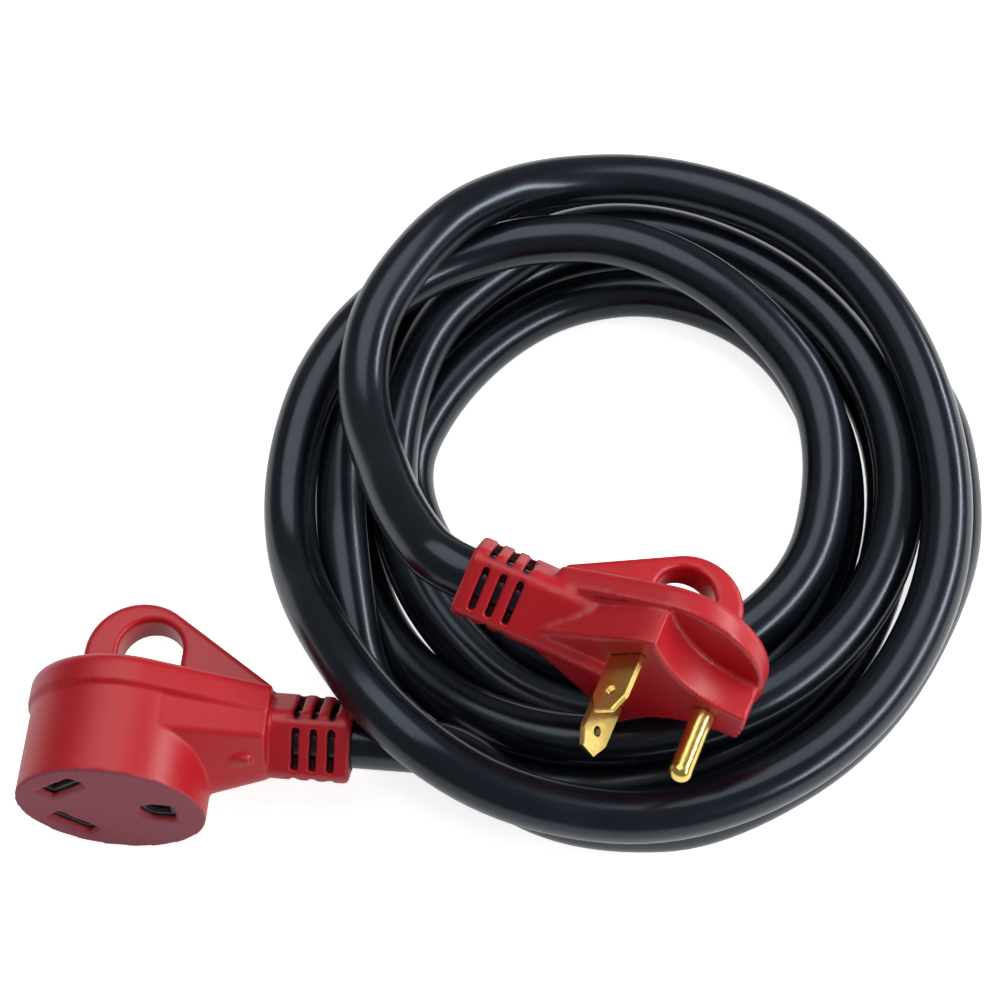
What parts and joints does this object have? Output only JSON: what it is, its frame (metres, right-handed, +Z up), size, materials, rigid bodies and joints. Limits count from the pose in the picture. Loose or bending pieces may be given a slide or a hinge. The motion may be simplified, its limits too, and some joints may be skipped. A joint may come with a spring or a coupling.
{
  "type": "shore power cord",
  "caption": "Coiled black shore power cord with a red moulded plug with three brass prongs and a red moulded connector, each with a pull handle.",
  "frame": {"origin": "on the floor, under the middle of the box round the plug and the connector", "axes": "+Z up; +X along the line from the connector to the plug, the connector's cable way out; +Y back, away from the connector's face"},
  "size_m": [0.2825, 0.2505, 0.0836],
  "materials": {
    "red_shell": "satin",
    "dark_insert": "matte",
    "brass": "polished",
    "black_jacket": "satin",
    "black_insulation": "satin",
    "white_insulation": "satin",
    "green_insulation": "satin",
    "copper": "drawn"
  },
  "bodies": {
    "root": {"plug_shell": "red_shell", "plug_core": "dark_insert", "plug_hot_blade": "brass", "plug_neutral_blade": "brass", "plug_ground_pin": "brass", "connector_shell": "red_shell", "contact_carrier": "dark_insert", "carrier_cover": "dark_insert", "connector_hot_contact": "brass", "connector_neutral_contact": "brass", "connector_ground_contact": "brass", "plug_jacket_end": "black_jacket", "plug_hot_wire": "black_insulation", "plug_neutral_wire": "white_insulation", "plug_ground_wire": "green_insulation", "plug_hot_copper": "copper", "plug_neutral_copper": "copper", "plug_ground_copper": "copper", "connector_jacket_end": "black_jacket", "connector_hot_wire": "black_insulation", "connector_neutral_wire": "white_insulation", "connector_ground_wire": "green_insulation", "connector_hot_copper": "copper", "connector_neutral_copper": "copper", "connector_ground_copper": "copper", "cable_coil": "black_jacket", "cable_connector_lead": "black_jacket"}
  },
  "joints": []
}
